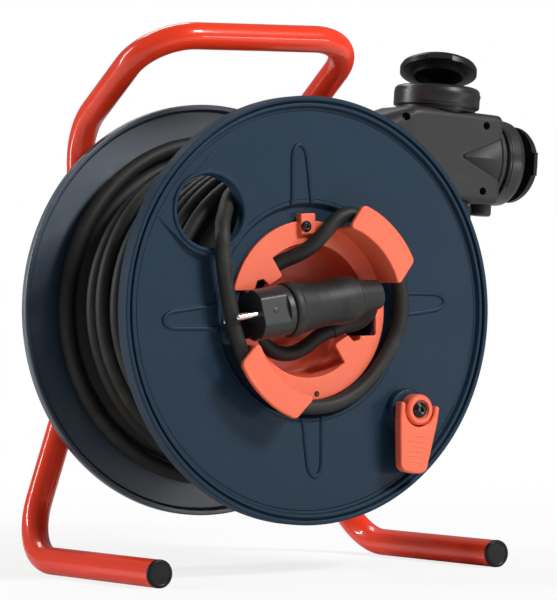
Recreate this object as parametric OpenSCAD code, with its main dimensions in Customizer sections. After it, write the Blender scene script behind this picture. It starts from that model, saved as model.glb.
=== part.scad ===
// Extension cord reel. A drum of rubber cable turns on a stand of bent tube, wound by a crank
// whose handle folds out. The cable's plug parks in a holder in the front flange, and its other
// end feeds a block of three lidded sockets, clamped beside the carrying grip.
//
// Millimetres, +Z up, the drum's open face looks towards -Y, origin on the floor below the middle.
// Pieces on the drum are drawn in its face frame: X right, Y up, Z out of the front rim.

/* [Stand] */
// Outer diameter of the frame tube
tube_d = 20; // [19:0.5:20]
// Wall of the frame tube
tube_wall = 1.8; // [1.2:0.1:3]
// Height of the drum's axis above the floor
axis_z = 191; // [190:0.5:193]
// Thickness of the plate that carries the axle
plate_t = 4; // [3:0.5:4]

/* [Drum] */
// Radius of both flanges
flange_r = 155; // [154:0.5:156]
// Distance between the rims of the flanges, front edge to rear edge
drum_w = 154.8; // [154:0.2:155]
// Radius of the cord hole in the front flange
cord_hole_r = 26; // [24:0.1:26.4]
// Turn of the drum at rest
drum_turn = 3.5; // [0:0.5:6]
// Height of the relief loops on the front flange
relief = 1.2; // [0.6:0.1:1.6]

/* [Crank] */
// Distance from the drum's axis to the crank's pivot
crank_r = 111; // [108:0.5:112]
// Length of the fold-out handle from its hinge pins
handle_l = 45; // [42:0.5:46]
// Thickness of the handle
handle_t = 9; // [8:0.5:9]
// How far the handle is folded out
handle_fold = 0; // [0:5:90]

/* [Cable] */
// Diameter of the cable
cord_d = 11; // [9:0.1:11]
// Step between one turn of the winding and the next
wind_step = 11.9; // [11.6:0.1:12.2]

/* [Sockets] */
// Radius of the recess in each socket
recess_r = 20.2; // [19.8:0.1:20.6]
// Depth of the recess in each socket
recess_d = 16.5; // [15:0.1:17.5]
// Rest angles of the top, right and bottom lid
lid_open = [17, 7, 0]; // [0:1:110]

/* [Hidden] */
$fn = 64;

RED = [0.76, 0.13, 0.07];
NAVY = [0.14, 0.21, 0.29];
SALMON = [0.94, 0.42, 0.30];
RUBBER = [0.09, 0.10, 0.09];
GREY = [0.24, 0.24, 0.24];
BLACK = [0.07, 0.07, 0.07];
STEEL = [0.72, 0.73, 0.75];

tube_r = tube_d / 2;
cord_r = cord_d / 2;
front_y = -82;      // where the front rim's edge is along Y
bolt_r = 3;

// The right half of the frame tube: foot, leg, upright and grip, with the bends between them
upright_x = 93;
upright_y = 93;
foot_x = 143.5;
grip_z = 392;
half_route = [[foot_x, -104, tube_r], [145.5, upright_y, tube_r], [upright_x, upright_y, 159],
  [upright_x, upright_y, 326.7], [90, -8.5, grip_z]];
half_bends = [45, 60, 45, 40];

// Depths along the axle, measured out of the front rim
plate_front = -161;
plate_half = 30;
rear_rim = -drum_w;
rear_in = rear_rim + 4.8;
core_front = -11;
web_z = -52;
screw_ring = 59.5;

// The holder and what parks in it are turned back from the flange's relief loops
holder_back = 3.5;
wing_in = [[15.5, 72.5], [199.5, 259]];      // each wing's angles along its inner edge
wing_out = [[25.2, 67.8], [206.3, 249.6]];   // and along its outer edge
wing_top = 22;
ring_z = -8;
lug_screw = [60.8, 94];
low_screw = [60.5, 275.5];

// The plug's axis leans up towards its tail and crosses the holder
plug_at = [-56.5, -2.9, 8];
plug_lean = 7.5;
plug_roll = -9;
pin_gap = 19;

// The winding: radius of the cable's centre by depth behind the front rim
wind_lay = [[0, 99], [17, 99.5], [29, 103.8], [41, 107], [60, 107], [92, 105], [104, 107.4],
  [115.6, 115.4], [127, 110], [140, 110]];
wind_front = 17;
wind_turns = 9.25;
wind_from = 118;
loop_rings = 24;
dive = 7;           // the last sixth of a turn drops between its neighbours

// The cable from the winding's end through the cord hole, down past the plug's face, round the
// holder and into its dish, to the plug's boot, in the face frame
pigtail_bends = [[-71, 69, -4.5], [-76.5, 61.5, 2], [-79.5, 52.5, 7], [-80.2, 43, 8],
  [-79.5, 32, 8], [-77.5, 18, 8], [-74.4, 4, 8], [-71.5, -10, 7.6], [-66.5, -24, 6.8],
  [-59.5, -38, 6], [-49.5, -51, 5], [-36, -61, 3.6], [-20, -67.3, 2], [-2, -69.5, 0.4],
  [16, -68.3, -0.8], [33, -62.2, -1.2], [48, -52, -1.2], [60, -38.5, -1.1], [68.5, -25, 0],
  [73.8, -11, 1.7], [75.6, 3, 2.2], [73.8, 17, 3], [68.3, 31, 4.2], [60.5, 43.5, 5.4],
  [51, 54.5, 6.4], [40.5, 64, 7.2], [29, 69.5, 7.4], [17.5, 66, 6.8], [9, 57.5, 5.4],
  [1, 48.5, 2.4], [-8.5, 41, -3.6], [-20, 35, -11.2], [-31, 27, -16], [-38.5, 16.5, -18],
  [-41.8, 4, -18.5], [-40.5, -9.5, -18.3], [-33.5, -21, -18], [-22.5, -28.8, -18.5],
  [-10, -31.2, -18.4], [1.5, -27.5, -16.4], [12.6, -19, -12.8]];
boot_end = [23, -14.5, -11];
boot_turn = [32.5, -10.4, -9.4];
boot_sides = 12;

// The fixed turn of the cable that rises from between the turns and leads to the block
tail_depth = 139;
tail_r = 126;
tail_from = -57;
tail_steps = 14;
tail_rise = [[-8.5, -5], [-5, -2.2], [-2, -0.6]];   // depth and radius of its first points
tail_bends = [[10, 56.5, 317.6], [25, 55.2, 318.2], [40, 52.8, 319], [52, 50.2, 319.6]];

// The socket block stands beside the rim, its cable end towards the reel
block_at = [188, 48, 308.6];
block_lean = 5;
block_t = [[0, 22.5], [2, 26.5], [6, 28.5]];   // inset and half thickness of the edge's steps
socket_r = 33.5;
socket_h = 19;
spigot_r = 26;
socket_seats = [[[8, 35], 0], [[55, 0], -90], [[6, -35], 180]];
socket_turn = [-32, 0, 0];
hinge = [0, 34.5, 21.5];
lid_r = 30;
gland_r = 13;
neck_x = -74;
cord_in_x = -116;

// ---------------------------------------------------------------- helpers

function unit(v) = v / norm(v);
function side(d) = unit(cross(abs(d[2]) < 0.9 ? [0, 0, 1] : [1, 0, 0], d));
function polar(r, a) = [r * cos(a), r * sin(a)];
function last(v) = v[len(v) - 1];

// Stands the children's X, Y and Z along three directions, with their origin at p
module along(p, x, y, z)
  multmatrix([[x[0], y[0], z[0], p[0]], [x[1], y[1], z[1], p[1]], [x[2], y[2], z[2], p[2]],
    [0, 0, 0, 1]]) children();

// Stands the children's Z along direction d
module on_line(p, d) {
  x = side(d);
  along(p, x, cross(d, x), d) children();
}

module on_face() translate([0, front_y, axis_z]) rotate([90, 0, 0]) children();
module on_drum() on_face() rotate([0, 0, drum_turn]) children();
module on_holder() on_drum() rotate([0, 0, -holder_back]) children();
module on_plug() on_holder() translate(plug_at) rotate([0, 0, plug_lean]) rotate([plug_roll, 0, 0])
  rotate([0, 90, 0]) children();
module on_crank() on_drum() rotate([0, 0, -45]) translate([crank_r, 0, 0]) rotate([0, 0, 33.5])
  children();
module on_block() translate(block_at) rotate([0, block_lean, 0]) rotate([90, 0, 0]) children();
module on_socket(i) on_block() translate([socket_seats[i][0][0], socket_seats[i][0][1], 0])
  rotate([0, 0, socket_seats[i][1]]) rotate([-90, 0, 0]) rotate([0, 0, socket_turn[i]]) children();

// A disc or a ring between two heights
module disc(r, z0, z1) translate([0, 0, z0]) cylinder(r = r, h = z1 - z0);
module ring(r, bore, z0, z1) difference() {
  disc(r, z0, z1);
  disc(bore, z0 - 1, z1 + 1);
}
module hexagon(flats, z0, z1) translate([0, 0, z0])
  cylinder(r = flats / 2 / cos(30), h = z1 - z0, $fn = 6);
module round_plate(w, h, r) {
  square([w - 2 * r, h], center = true);
  square([w, h - 2 * r], center = true);
  for (x = [-1, 1], y = [-1, 1]) translate([x * (w / 2 - r), y * (h / 2 - r)]) circle(r = r);
}

// A bent rod through corner points, with a bend of its own radius at each inner corner. The
// straights run a little into the bends, which are thicker by swell
module bent_rod(p, bends, r, swell) {
  n = len(p) - 1;
  d = [for (i = [0:n - 1]) unit(p[i + 1] - p[i])];
  cut = [for (i = [0:n]) i == 0 || i == n ? 0 : bends[i - 1] * tan(acos(d[i - 1] * d[i]) / 2)];
  for (i = [0:n - 1]) {
    into = [i == 0 ? 0 : 0.3, i == n - 1 ? 0 : 0.3];
    on_line(p[i] + d[i] * (cut[i] - into[0]), d[i])
      cylinder(r = r, h = norm(p[i + 1] - p[i]) - cut[i] - cut[i + 1] + into[0] + into[1]);
  }
  for (i = [1:n - 1]) {
    a = d[i - 1];
    in = unit(d[i] - a * (a * d[i]));
    along(p[i] - a * cut[i] + in * bends[i - 1], -in, a, cross(a, in))
      rotate_extrude(angle = acos(a * d[i])) translate([bends[i - 1], 0]) circle(r = r + swell);
  }
}

// A round tube swept along points without twist, with a radius for each point
function headings(p) = [for (i = [0:len(p) - 1])
  i == 0 ? unit(p[1] - p[0]) : i == len(p) - 1 ? unit(p[i] - p[i - 1])
  : unit(unit(p[i + 1] - p[i]) + unit(p[i] - p[i - 1]))];
function carried(t) = [for (i = 0, s = side(t[0]); i < len(t);
  i = i + 1, s = i < len(t) ? unit(s - t[i] * (s * t[i])) : s) s];
module swept_tube(p, radii, sides) {
  t = headings(p);
  s = carried(t);
  n = len(p);
  points = [for (i = [0:n - 1], k = [0:sides - 1]) let (a = 360 * k / sides)
    p[i] + radii[i] * (cos(a) * s[i] + sin(a) * cross(t[i], s[i]))];
  walls = [for (i = [0:n - 2], k = [0:sides - 1])
    let (a = i * sides + k, b = i * sides + (k + 1) % sides) each
    [[a, a + sides, b + sides], [a, b + sides, b]]];
  caps = [for (k = [1:sides - 2]) each
    [[0, k, k + 1], [(n - 1) * sides, (n - 1) * sides + k + 1, (n - 1) * sides + k]]];
  polyhedron(points, concat(walls, caps));
}
module cord_tube(p, sides) swept_tube(p, [for (q = p) cord_r], sides);

function route_length(p) = len(p) < 2 ? 0 : [for (i = 1, s = norm(p[1] - p[0]); i < len(p);
  i = i + 1, s = s + (i < len(p) ? norm(p[i] - p[i - 1]) : 0)) s][len(p) - 2];

// ---------------------------------------------------------------- stand

module frame_tube() color(RED) for (m = [0, 1]) mirror([m, 0, 0]) difference() {
  route = concat(half_route, [[0, last(half_route)[1], grip_z]]);
  bent_rod(route, half_bends, tube_r, 0.04);
  bent_rod(route, half_bends, tube_r - tube_wall, -0.04);
}

module foot_caps() color(BLACK) for (s = [-1, 1]) {
  tip = half_route[0];
  out = unit(tip - half_route[1]);
  on_line([s * tip[0], tip[1], tip[2]], [s * out[0], out[1], out[2]]) {
    disc(tube_r - tube_wall, -14, 0);
    disc(tube_r, 0, 2);
  }
}

clamp_spots = [for (x = [-1, 1], u = [-19, 19], v = [-12, 12]) [x * upright_x + u, v]];

module cross_plate() color(RED) on_face() difference() {
  union() {
    translate([0, 0, plate_front - plate_t]) linear_extrude(plate_t) round_plate(240, 60, 10);
    for (s = [-1, 1]) translate([-75, s * (plate_half - 1.5) - 1.5, plate_front - 16])
      cube([150, 3, 13]);
  }
  disc(8, plate_front - plate_t - 1, plate_front + 1);
  for (q = clamp_spots) translate(q) disc(bolt_r, plate_front - plate_t - 1, plate_front + 1);
}

// Half round straps that hold the uprights against the plate
module tube_clamps() color(RED) on_face() for (s = [-1, 1]) translate([s * upright_x, 0, 0]) {
  back = plate_front - plate_t;
  centre = front_y - upright_y;
  difference() {
    union() {
      translate([-25, -20, back - 3]) cube([50, 40, 3]);
      translate([-13, -20, centre]) cube([26, 40, back - centre]);
      translate([0, 20, centre]) rotate([90, 0, 0]) cylinder(r = 13, h = 40);
    }
    translate([0, 21, centre]) rotate([90, 0, 0]) cylinder(r = tube_r, h = 42);
    translate([-tube_r, -21, centre]) cube([2 * tube_r, 42, back - centre + 1]);
    for (u = [-19, 19], v = [-12, 12]) translate([u, v, 0]) disc(bolt_r, back - 4, back + 1);
    translate([-30, -25, back]) cube([60, 50, 20]);
  }
}

module clamp_bolts() color(BLACK) on_face() for (q = clamp_spots) translate(q) {
  disc(bolt_r, plate_front - plate_t - 9, plate_front);
  difference() {
    translate([0, 0, plate_front]) rotate_extrude()
      polygon([[0, 0], [5.5, 0], [5.2, 1.4], [4, 2.5], [2.2, 3], [0, 3]]);
    hexagon(3.5, plate_front + 1.4, plate_front + 4);
  }
}

module clamp_nuts() color(STEEL) on_face() for (q = clamp_spots) translate(q) difference() {
  hexagon(10, plate_front - plate_t - 8, plate_front - plate_t - 3);
  disc(bolt_r, plate_front - plate_t - 10, plate_front - plate_t - 1);
}

axle_end = plate_front - 16;
module axle() color(STEEL) on_face() difference() {
  union() {
    disc(10, plate_front, -47);
    disc(8, axle_end, plate_front + 1);
  }
  disc(5, -76, -46);
}

module axle_nut() color(STEEL) on_face() {
  ring(14, 8, plate_front - plate_t - 2, plate_front - plate_t);
  difference() {
    hexagon(24, plate_front - plate_t - 10, plate_front - plate_t - 2);
    disc(8, axle_end - 3, plate_front);
  }
}

module axle_washer() color(STEEL) on_face() ring(16, 5.2, -47, -44.5);

module axle_bolt() color(STEEL) on_face() {
  disc(5, -72, -44.5);
  hexagon(16, -44.5, -38.7);
}

// The cradle grips the right upright and carries the block's gland in an open ring
cradle_z = 289;
cradle_w = 42;
cradle_screw_x = [76, 110];
module gland_ring() on_block() translate([neck_x - 16, 0, 0]) rotate([0, 90, 0]) children();

module block_cradle() color(RED) difference() {
  union() {
    translate([72, 80, 277]) cube([cradle_w, 12.8, 24]);
    translate([107, 80, 277]) cube([5, 12.8, 48]);
    translate([107, 50, 306]) cube([5, 42.8, 19]);
    gland_ring() disc(16.5, 0.2, 15.6);
  }
  gland_ring() disc(gland_r, -30, 30);
  translate([upright_x, upright_y, 270]) cylinder(r = tube_r, h = 40);
  for (x = cradle_screw_x) translate([x, 83, cradle_z]) rotate([-90, 0, 0]) cylinder(r = 2, h = 20);
}

module cradle_strap() color(RED) difference() {
  union() {
    translate([72, 93.2, 277]) cube([cradle_w, 4, 24]);
    translate([upright_x, upright_y, 277]) cylinder(r = tube_r + 3, h = 24);
  }
  translate([60, 70, 270]) cube([70, 23.2, 40]);
  translate([upright_x, upright_y, 270]) cylinder(r = tube_r, h = 40);
  for (x = cradle_screw_x) translate([x, 90, cradle_z]) rotate([-90, 0, 0]) cylinder(r = 2, h = 20);
}

module cradle_screws() color(BLACK) for (x = cradle_screw_x) translate([x, 97.2, cradle_z])
  rotate([90, 0, 0]) {
    disc(2, 0, 14);
    difference() {
      disc(3.8, -3, 0);
      hexagon(3, -4, -1.4);
    }
  }

// ---------------------------------------------------------------- drum

front_profile = [[58, -8], [75.5, -8], [77.5, -4], [146, -4], [147.4, -0.8], [149.6, -0.8],
  [149.6, -3], [151.6, -3], [151.6, 0], [flange_r - 0.8, 0], [flange_r, -0.8], [flange_r, -12],
  [152.2, -12], [152.2, -7], [79, -7], [77, -11], [58, -11]];
hole_at = concat(polar(111.3, 136.4), [0]);

function loop_outline(r) = concat([[78, r], [78, -r]],
  [for (a = [-90:15:90]) [113 + r * cos(a), r * sin(a)]]);
module relief_loop() difference() {
  polygon(loop_outline(8));
  polygon([for (q = loop_outline(6.4)) q - [q[0] < 79 ? 1 : 0, 0]]);
}

// A pad round the cord hole, half round inside and cut straight towards the rim, where its
// sloping top runs down to the flange's face
module cord_pad() translate(hole_at) rotate([0, 0, 133]) intersection() {
  translate([0, 0, -5]) linear_extrude(8) intersection() {
    union() {
      circle(r = 31.5);
      translate([0, -31.1]) square([40, 62.2]);
    }
    translate([-40, -40]) square([66, 80]);
  }
  translate([0, 0, -1.46]) rotate([0, 5.4, 0]) translate([-60, -60, -30]) cube([120, 120, 30]);
}

// The boss under the crank runs down as a ramp below the folded handle
module crank_boss() hull() {
  disc(18, -5, 3.2, $fn = 40);
  disc(17, -5, 4.2, $fn = 40);
  translate([0, -35, 0]) disc(11.5, -5, -2, $fn = 32);
}

module front_flange() color(NAVY) on_drum() difference() {
  union() {
    rotate_extrude($fn = 180) polygon(front_profile);
    for (a = [0:90:270]) rotate([0, 0, a]) translate([0, 0, -5]) linear_extrude(1 + relief)
      relief_loop();
    cord_pad();
    rotate([0, 0, -45]) translate([crank_r, 0, 0]) rotate([0, 0, 33.5]) crank_boss();
  }
  translate(hole_at) disc(cord_hole_r, -20, 10);
  rotate([0, 0, -45]) translate([crank_r, 0, 0]) {
    disc(4, -20, 10);
    disc(7.5, -20, -6.5);
  }
  for (a = [45:90:315]) rotate([0, 0, a]) translate([screw_ring, 0, 0]) {
    disc(1.8, -12, -7);
    disc(3.3, -9.3, -7);
  }
  for (q = [lug_screw, low_screw]) translate(polar(q[0], q[1] - holder_back)) disc(1.8, -12, -7);
}

module rear_flange() color(NAVY) on_drum() difference() {
  union() {
    rotate_extrude($fn = 180) polygon([[18, rear_in], [151, rear_in], [151, rear_in + 1.7],
      [flange_r - 0.8, rear_in + 1.7], [flange_r, rear_in + 0.9], [flange_r, rear_rim],
      [151.5, rear_rim], [151.5, rear_in - 3], [18, rear_in - 3]]);
    for (a = [0:30:330]) rotate([0, 0, a]) translate([17, -1.25, rear_in - 6]) cube([134.6, 2.5, 4]);
    for (r = [67, 108]) ring(r + 1.25, r - 1.25, rear_in - 6, rear_in - 1);
    disc(18, -158.5, -132);
  }
  disc(12.5, -170, -120);
  for (a = [45:90:315]) rotate([0, 0, a]) translate([screw_ring, 0, 0]) disc(1.8, -158, -148);
}

module drum_core() color(NAVY) on_drum() difference() {
  union() {
    ring(64, 61, rear_in, core_front);
    disc(62, web_z - 3, web_z);
    disc(18, -69.4, -49.4);
    for (a = [45:90:315]) rotate([0, 0, a]) translate([screw_ring, 0, 0]) {
      disc(3.8, -30, core_front - 0.4);
      disc(3.8, rear_in + 0.4, rear_in + 19);
    }
    for (q = [lug_screw, low_screw]) translate(polar(q[0], q[1] - holder_back))
      disc(3.4, -30, core_front - 0.4);
  }
  disc(12.5, -80, -40);
  for (a = [45:90:315]) rotate([0, 0, a]) translate([screw_ring, 0, 0]) {
    disc(1.8, -28, core_front + 1);
    disc(1.8, rear_in - 1, rear_in + 17);
  }
  for (q = [lug_screw, low_screw]) translate(polar(q[0], q[1] - holder_back))
    disc(1.8, -28, core_front + 1);
}

module front_bush() color(BLACK) on_drum() {
  ring(15, 10.05, -49.4, -47.4);
  ring(12.5, 10.05, -69.4, -49.4);
}

module rear_bush() color(BLACK) on_drum() {
  ring(12.5, 10.05, -158.5, -138.5);
  ring(15, 10.05, -160.5, -158.5);
}

module pan_screw(l) {
  disc(1.8, -l, 0);
  disc(3.6, 0, 1.8);
}

module flange_screws() color(STEEL) on_drum() for (a = [45:90:315]) rotate([0, 0, a])
  translate([screw_ring, 0, -8]) {
    disc(1.8, -18, -1.3);
    disc(3.2, -1.3, -0.1);
  }

module rear_screws() color(BLACK) on_drum() for (a = [45:90:315]) rotate([0, 0, a])
  translate([screw_ring, 0, rear_in - 3]) rotate([180, 0, 0]) pan_screw(17);

// ---------------------------------------------------------------- plug holder

module sector(r, a0, a1) polygon(concat([[0, 0]],
  [for (i = [0:6]) polar(r, a0 + (a1 - a0) * i / 6)]));

// A wing is a curved plate with slanted, rounded ends, over the loop of the parked cable
module wing(k) offset(r = 2.5, $fn = 24) offset(delta = -2.5) polygon(concat(
  [for (i = [0:16]) polar(82.2, wing_out[k][0] + (wing_out[k][1] - wing_out[k][0]) * i / 16)],
  [for (i = [16:-1:0]) polar(62.6, wing_in[k][0] + (wing_in[k][1] - wing_in[k][0]) * i / 16)]));

// A tooth of the rim that hooks in over the dish
module tooth() polygon([[31.2, -39.2], [22, -25], [33.4, -18.4], [38.5, -23], [45, -22], [51, -24],
  [40, -40]]);

module holder_shell() {
  rotate_extrude($fn = 128) polygon([[0, -36], [50.5, -36], [50.5, ring_z], [65, ring_z],
    [65, ring_z + 3], [48.5, ring_z + 3], [48.5, -34], [0, -34]]);
  for (k = [0, 1]) {
    rotate([0, 0, wing_in[k][0] + 3]) rotate_extrude(angle = wing_in[k][1] - wing_in[k][0] - 6)
      translate([62.7, ring_z + 1]) square([1.7, wing_top - ring_z - 2]);
    translate([0, 0, wing_top - 3.5]) linear_extrude(3.5) wing(k);
    translate([0, 0, ring_z]) linear_extrude(3) rotate(180 * k) tooth();
  }
  rotate([0, 0, lug_screw[1] - 0.6]) translate([55, -7, ring_z + 0.1]) cube([15.2, 14, 6.9]);
}

module plug_holder() color(SALMON) on_holder() difference() {
  holder_shell();
  // the bay for the plug's barrel, and the gap where its boot turns into the dish
  translate([-75, -19, -12]) cube([33, 34, 11]);
  translate([38, -19, -30]) cube([19.5, 36, 30]);
  for (q = [lug_screw, low_screw]) translate(polar(q[0], q[1])) disc(1.8, -12, 5);
}

module holder_screws() color(BLACK) on_holder() {
  for (s = [[lug_screw, ring_z + 7], [low_screw, ring_z + 3]]) translate(polar(s[0][0], s[0][1]))
    difference() {
    union() {
      disc(1.8, -26, s[1]);
      translate([0, 0, s[1]]) rotate_extrude()
        polygon([[0, 0], [4, 0], [3.6, 1.1], [2.4, 1.7], [0, 1.9]]);
    }
    hexagon(2.6, s[1] + 0.6, s[1] + 3);
  }
}

// ---------------------------------------------------------------- cable

function lay_r(y) = lookup(y, wind_lay);
function wind_point(i) = let (t = i / loop_rings, y = wind_front + wind_step * t,
  sink = dive * max(0, 1 - (wind_turns - t) * 6), q = polar(lay_r(y) - sink,
  wind_from - drum_turn - 360 * t)) [q[0], q[1], -y];
wind_route = [for (i = [0:round(wind_turns * loop_rings)]) wind_point(i)];
wind_gap = min([for (i = [0:len(wind_route) - 1], j = [i + loop_rings / 2:1:len(wind_route) - 1])
  norm(wind_route[i] - wind_route[j])]) - cord_d;
echo(winding_least_gap = wind_gap, winding_length = route_length(wind_route));

module cable_core() color(RUBBER) on_drum() rotate_extrude($fn = 120) polygon(concat(
  [[64.4, -13]],
  [for (y = [13, 17, 29, 41, 60, 92, 104, 112]) [lay_r(y) - cord_r - 2.4, -y]],
  [[lay_r(127) - cord_r - dive - 1.2, -116.6], [lay_r(127) - cord_r - dive - 1.2, -133],
    [tail_r - cord_r - 2.4, -137], [tail_r - cord_r - 2.4, -147], [64.4, -147]]));

module cable_winding() color(RUBBER) on_drum() cord_tube(wind_route, 6);

pigtail_start = let (q = wind_point(0), d = unit(q - wind_point(1)), c = cos(holder_back),
  s = sin(holder_back)) [for (p = [q, q + 12 * d]) [c * p[0] - s * p[1], s * p[0] + c * p[1], p[2]]];
pigtail_route = concat(pigtail_start, pigtail_bends, [boot_end]);
echo(pigtail_length = route_length(pigtail_route));

module pigtail_cord() color(RUBBER) on_holder() cord_tube(pigtail_route, 8);

// ---------------------------------------------------------------- plug

// The face is a round insert with flat guides at both sides and a groove for each earth contact
module plug_face() color(BLACK) on_plug() difference() {
  disc(18.5, 0, 26);
  for (s = [-1, 1]) {
    translate([s > 0 ? 16.9 : -22.9, -7.5, -1]) cube([6, 15, 19]);
    translate([-2.4, s > 0 ? 16.2 : -20.2, -1]) cube([4.8, 4, 20]);
    translate([s * pin_gap / 2, 0, -1]) cylinder(r = 2.2, h = 13);
  }
  disc(3.2, -1, 9);
}

module plug_pins() color(STEEL) on_plug() for (s = [-1, 1]) translate([s * pin_gap / 2, 0, 0])
  rotate([180, 0, 0]) rotate_extrude()
    polygon([[0, -12], [2.2, -12], [2.2, 0], [2.4, 0], [2.4, 17.6], [1.9, 18.8], [1, 19.4], [0, 19.4]]);

module plug_contacts() color(STEEL) on_plug() for (s = [-1, 1])
  translate([-2.2, s > 0 ? 16.4 : -17.6, 0]) cube([4.4, 1.2, 18.6]);

module plug_body() color(BLACK) on_plug() rotate_extrude($fn = 72) polygon([[0, 26], [17.6, 26],
  [17.6, 27.6], [19.6, 27.6], [20.2, 29], [20.2, 33], [19.4, 34.6], [18.6, 40], [17.6, 48],
  [16.9, 58], [16.8, 66], [17.2, 73], [17.1, 79], [16, 83], [14.4, 87], [0, 87]]);

// The bent boot turns the cable back into the dish behind the plug's tail
module plug_boot() color(RUBBER) on_holder() {
  lean = [cos(plug_lean), sin(plug_lean), 0];
  tail = plug_at + 87 * lean;
  from = tail + 2.5 * lean;
  mid = (from + boot_turn) / 2;
  half = (boot_turn - from) / 2;
  bow = norm(half) * [1, 0, 0];
  run = concat([tail, from], [for (a = [20:20:180]) mid - cos(a) * half + sin(a) * bow], [boot_end]);
  swept_tube(run, [for (i = [0:len(run) - 1]) lookup(i, [[0, 12.4], [3, 11.4], [6, 9.4], [9, 7.4], [11, 6.4]])],
    boot_sides);
}

// ---------------------------------------------------------------- crank

pin_z = 9.5;
module crank_hub() color(SALMON) on_crank() difference() {
  rotate_extrude() polygon([[4.05, 4.5], [11.25, 4.5], [11.25, 13.6], [10.8, 14.5], [9.8, 15],
    [4.05, 15]]);
  for (s = [0, 180]) rotate([0, 0, s]) translate([8, 0, pin_z]) rotate([0, 90, 0])
    cylinder(r = 1.8, h = 5);
}

module crank_pins() color(STEEL) on_crank() for (s = [0, 180]) rotate([0, 0, s])
  translate([8, 0, pin_z]) rotate([0, 90, 0]) cylinder(r = 1.8, h = 8.5);

module crank_screw() color(BLACK) on_crank() difference() {
  union() {
    disc(4, -8, 15.3);
    disc(2.5, -15, -8);
    translate([0, 0, 15.3]) rotate_extrude() polygon([[0, 0], [6.3, 0], [6.1, 1.3], [5, 2.4],
      [3, 3], [0, 3]]);
  }
  hexagon(4, 16.4, 20);
}

module crank_nut() color(STEEL) on_crank() difference() {
  hexagon(8, -12, -8);
  disc(2.5, -20, 0);
}

// The handle straddles the hub with two ears and tapers to a round end, with grip ribs
module crank_handle() color(SALMON) on_crank() translate([0, 0, pin_z]) rotate([-handle_fold, 0, 0])
  difference() {
    union() {
      translate([0, 0, -handle_t / 2]) linear_extrude(handle_t) {
        polygon([[-17, 0], [17, 0], [12, 12 - handle_l], [-12, 12 - handle_l]]);
        translate([0, 12 - handle_l]) circle(r = 12);
      }
      translate([-17, 0, 0]) rotate([0, 90, 0]) cylinder(r = handle_t / 2, h = 34);
    }
    translate([0, 0, -handle_t]) cylinder(r = 12.4, h = 2 * handle_t);
    translate([-12.4, 0, -handle_t]) cube([24.8, handle_t, 2 * handle_t]);
    for (s = [0, 180]) rotate([0, 0, s]) translate([11, 0, 0]) rotate([0, 90, 0])
      cylinder(r = 1.85, h = 5.6);
    for (y = [-20:-4:-40]) translate([-7, y, handle_t / 2 - 0.7]) cube([14, 1.4, 2]);
  }

// ---------------------------------------------------------------- socket block

tail_turn = [for (i = [0:tail_steps]) let (rise = i < 3 ? tail_rise[i] : [0, 0],
  q = polar(tail_r + rise[1], tail_from - 360 * i / loop_rings))
  [q[0], front_y + tail_depth + rise[0], axis_z + q[1]]];
function block_point(u, v) = block_at + [u * cos(block_lean) + v * sin(block_lean), 0,
  v * cos(block_lean) - u * sin(block_lean)];
tail_route = concat(tail_turn, tail_bends, [block_point(cord_in_x - 12, 0), block_point(cord_in_x, 0)]);
echo(tail_length = route_length(tail_route));

module tail_cord() color(RUBBER) cord_tube(tail_route, 8);

module block_boot() color(BLACK) on_block() translate([cord_in_x, 0, 0]) rotate([0, 90, 0])
  rotate_extrude() polygon([[0, 0], [6.6, 0], [6.6, 3], [7.2, 3], [7.2, 6], [6.9, 6], [6.9, 9],
    [7.8, 9], [7.8, 12], [7.4, 12], [7.4, 15], [8.4, 15], [8.4, 18], [8, 18], [8, 21], [9.2, 21],
    [9.2, 24], [0, 24]]);

module block_gland() color(BLACK) on_block() translate([neck_x - 18, 0, 0]) rotate([0, 90, 0])
  rotate_extrude() polygon([[0, 0], [10.5, 0], [12.2, 1.6], [gland_r, 1.6], [gland_r, 18], [0, 18]]);

block_corners = [[47, 27], [47, -27], [-21, 27], [-21, -27]];

// One half of the housing: a slab with stepped edges that draws in to a round neck, flared out
// to the right hand socket
module block_slab() hull() {
  for (t = block_t, q = block_corners) translate([q[0], q[1], -t[1]])
    cylinder(r = 8 - t[0], h = 2 * t[1], $fn = 32);
  translate([neck_x, 0, 0]) rotate([0, 90, 0]) cylinder(r = 20, h = 2, $fn = 48);
}
module socket_flare() {
  hull() {
    translate([50, 0, 0]) rotate([0, 90, 0]) cylinder(r = socket_r - 1, h = 5, $fn = 64);
    for (s = [-1, 1]) translate([13.6, 0, s * 28.2]) sphere(r = 0.3, $fn = 12);
  }
  translate([52, 0, 0]) rotate([0, 90, 0]) cylinder(r = socket_r, h = 3, $fn = 64);
}

module block_half(keep) difference() {
  union() {
    block_slab();
    socket_flare();
    hull() for (s = [-8, 8]) translate([50, -38, s]) scale([8.5, 3.6, 8.5]) sphere(r = 1, $fn = 24);
  }
  for (i = [0:2]) translate([socket_seats[i][0][0], socket_seats[i][0][1], 0])
    rotate([0, 0, socket_seats[i][1]]) rotate([-90, 0, 0]) disc(spigot_r + 0.05, -12, 12);
  for (x = [-37, 37], y = [-25.5, 25.5]) translate([x, y, 0]) {
    disc(1.7, -30, 30);
    disc(3, 20, 32);
  }
  translate([-100, -60, keep > 0 ? -50 : 0]) cube([200, 120, 50]);
}

module block_front_shell() color(GREY) on_block() block_half(1);
module block_rear_shell() color(GREY) on_block() block_half(-1);

module block_screws() color(BLACK) on_block() for (x = [-37, 37], y = [-25.5, 25.5])
  translate([x, y, 0]) difference() {
    union() {
      disc(1.7, -24, 20);
      disc(2.9, 20, 22.6);
    }
    hexagon(2.4, 21.2, 30);
  }

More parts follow.
